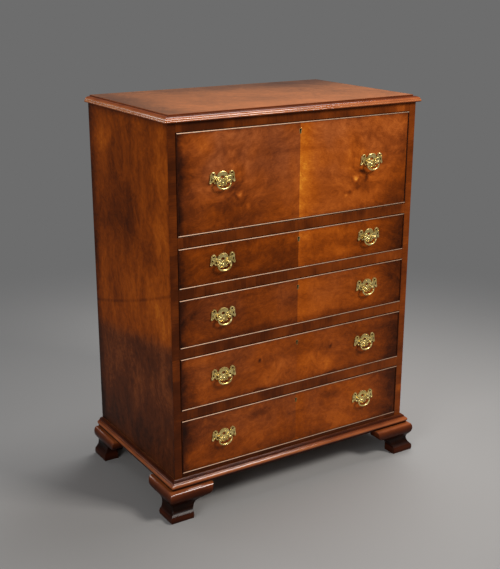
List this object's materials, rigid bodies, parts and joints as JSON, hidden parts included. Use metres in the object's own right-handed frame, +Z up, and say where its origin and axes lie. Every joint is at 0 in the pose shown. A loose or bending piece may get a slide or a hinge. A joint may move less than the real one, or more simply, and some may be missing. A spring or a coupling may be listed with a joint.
{
  "type": "secretaire chest",
  "caption": "Walnut secretaire chest: long drawers on ogee bracket feet under a deep drawer whose front falls to a leather writing surface before pigeonholes.",
  "frame": {"origin": "on the floor, at the middle of the overall width and depth", "axes": "+Z up, -Y the way the drawers open, +X to the right of someone facing the fronts"},
  "size_m": [0.774, 0.457, 1],
  "materials": {
    "side_walnut": "straight-grained walnut veneer, dark reddish brown, polished satin",
    "top_walnut": "walnut veneer, lighter reddish brown, polished satin",
    "figured_walnut": "book-matched figured walnut veneer, shaded darker at the edges, polished",
    "cross_banded_walnut": "cross-banded walnut, dark, polished satin",
    "moulded_walnut": "solid walnut mouldings and feet, polished, glossy",
    "oak_lining": "plain oak drawer linings and back, unpolished",
    "polished_brass": "polished cast brass",
    "writing_leather": "dark red writing leather with a tooled line border"
  },
  "bodies": {
    "carcase": {"top_board": "top_walnut", "side_left": "side_walnut", "side_right": "side_walnut", "back_panel": "oak_lining", "bottom_board": "cross_banded_walnut", "top_rail": "cross_banded_walnut", "divider_1": "cross_banded_walnut", "divider_2": "cross_banded_walnut", "divider_3": "cross_banded_walnut", "divider_4": "cross_banded_walnut", "base_moulding": "moulded_walnut", "front_foot_left": "moulded_walnut", "front_foot_right": "moulded_walnut", "back_foot_left": "moulded_walnut", "back_foot_right": "moulded_walnut"},
    "secretaire_drawer": {"secretaire_tray": "oak_lining", "desk_board": "figured_walnut", "fall_hinge_left": "polished_brass", "fall_hinge_right": "polished_brass", "pigeonhole_unit": "figured_walnut"},
    "fall": {"fall_front": "figured_walnut", "writing_leather": "writing_leather", "fall_lock": "polished_brass", "stay_left": "polished_brass", "stay_right": "polished_brass", "fall_plate_left": "polished_brass", "fall_plate_right": "polished_brass"},
    "small_drawer_1_body": {"small_drawer_1": "oak_lining"},
    "small_drawer_2_body": {"small_drawer_2": "oak_lining"},
    "small_drawer_3_body": {"small_drawer_3": "oak_lining"},
    "drawer_1": {"drawer_1_front": "figured_walnut", "drawer_1_tray": "oak_lining", "drawer_1_bottom": "oak_lining", "drawer_1_plate_left": "polished_brass", "drawer_1_plate_right": "polished_brass"},
    "drawer_2": {"drawer_2_front": "figured_walnut", "drawer_2_tray": "oak_lining", "drawer_2_bottom": "oak_lining", "drawer_2_plate_left": "polished_brass", "drawer_2_plate_right": "polished_brass"},
    "drawer_3": {"drawer_3_front": "figured_walnut", "drawer_3_tray": "oak_lining", "drawer_3_bottom": "oak_lining", "drawer_3_plate_left": "polished_brass", "drawer_3_plate_right": "polished_brass"},
    "drawer_4": {"drawer_4_front": "figured_walnut", "drawer_4_tray": "oak_lining", "drawer_4_bottom": "oak_lining", "drawer_4_plate_left": "polished_brass", "drawer_4_plate_right": "polished_brass"},
    "fall_left_bail": {"fall_bail_left": "polished_brass"},
    "fall_right_bail": {"fall_bail_right": "polished_brass"},
    "drawer_1_left_bail": {"drawer_1_bail_left": "polished_brass"},
    "drawer_1_right_bail": {"drawer_1_bail_right": "polished_brass"},
    "drawer_2_left_bail": {"drawer_2_bail_left": "polished_brass"},
    "drawer_2_right_bail": {"drawer_2_bail_right": "polished_brass"},
    "drawer_3_left_bail": {"drawer_3_bail_left": "polished_brass"},
    "drawer_3_right_bail": {"drawer_3_bail_right": "polished_brass"},
    "drawer_4_left_bail": {"drawer_4_bail_left": "polished_brass"},
    "drawer_4_right_bail": {"drawer_4_bail_right": "polished_brass"}
  },
  "joints": [
    {"name": "secretaire_slide", "type": "slide", "parent": "carcase", "child": "secretaire_drawer", "axis": [0, -1, 0], "range_m": [0, 0.25]},
    {"name": "fall_hinge", "type": "hinge", "parent": "secretaire_drawer", "child": "fall", "pos_m": [0, -0.1945, 0.73943], "axis": [1, 0, 0], "range_deg": [0, 90]},
    {"name": "small_drawer_1_slide", "type": "slide", "parent": "secretaire_drawer", "child": "small_drawer_1_body", "axis": [0, -1, 0], "range_m": [0, 0.12]},
    {"name": "small_drawer_2_slide", "type": "slide", "parent": "secretaire_drawer", "child": "small_drawer_2_body", "axis": [0, -1, 0], "range_m": [0, 0.12]},
    {"name": "small_drawer_3_slide", "type": "slide", "parent": "secretaire_drawer", "child": "small_drawer_3_body", "axis": [0, -1, 0], "range_m": [0, 0.12]},
    {"name": "drawer_1_slide", "type": "slide", "parent": "carcase", "child": "drawer_1", "axis": [0, -1, 0], "range_m": [0, 0.3]},
    {"name": "drawer_2_slide", "type": "slide", "parent": "carcase", "child": "drawer_2", "axis": [0, -1, 0], "range_m": [0, 0.3]},
    {"name": "drawer_3_slide", "type": "slide", "parent": "carcase", "child": "drawer_3", "axis": [0, -1, 0], "range_m": [0, 0.3]},
    {"name": "drawer_4_slide", "type": "slide", "parent": "carcase", "child": "drawer_4", "axis": [0, -1, 0], "range_m": [0, 0.3]},
    {"name": "fall_left_bail_hinge", "type": "hinge", "parent": "fall", "child": "fall_left_bail", "pos_m": [-0.22, -0.212, 0.8405], "axis": [-1, 0, 0], "range_deg": [-10, 100]},
    {"name": "fall_right_bail_hinge", "type": "hinge", "parent": "fall", "child": "fall_right_bail", "pos_m": [0.22, -0.212, 0.8405], "axis": [-1, 0, 0], "range_deg": [-10, 100]},
    {"name": "drawer_1_left_bail_hinge", "type": "hinge", "parent": "drawer_1", "child": "drawer_1_left_bail", "pos_m": [-0.22, -0.212, 0.644], "axis": [-1, 0, 0], "range_deg": [-10, 100]},
    {"name": "drawer_1_right_bail_hinge", "type": "hinge", "parent": "drawer_1", "child": "drawer_1_right_bail", "pos_m": [0.22, -0.212, 0.644], "axis": [-1, 0, 0], "range_deg": [-10, 100]},
    {"name": "drawer_2_left_bail_hinge", "type": "hinge", "parent": "drawer_2", "child": "drawer_2_left_bail", "pos_m": [-0.22, -0.212, 0.5075], "axis": [-1, 0, 0], "range_deg": [-10, 100]},
    {"name": "drawer_2_right_bail_hinge", "type": "hinge", "parent": "drawer_2", "child": "drawer_2_right_bail", "pos_m": [0.22, -0.212, 0.5075], "axis": [-1, 0, 0], "range_deg": [-10, 100]},
    {"name": "drawer_3_left_bail_hinge", "type": "hinge", "parent": "drawer_3", "child": "drawer_3_left_bail", "pos_m": [-0.22, -0.212, 0.353], "axis": [-1, 0, 0], "range_deg": [-10, 100]},
    {"name": "drawer_3_right_bail_hinge", "type": "hinge", "parent": "drawer_3", "child": "drawer_3_right_bail", "pos_m": [0.22, -0.212, 0.353], "axis": [-1, 0, 0], "range_deg": [-10, 100]},
    {"name": "drawer_4_left_bail_hinge", "type": "hinge", "parent": "drawer_4", "child": "drawer_4_left_bail", "pos_m": [-0.22, -0.212, 0.1885], "axis": [-1, 0, 0], "range_deg": [-10, 100]},
    {"name": "drawer_4_right_bail_hinge", "type": "hinge", "parent": "drawer_4", "child": "drawer_4_right_bail", "pos_m": [0.22, -0.212, 0.1885], "axis": [-1, 0, 0], "range_deg": [-10, 100]}
  ]
}
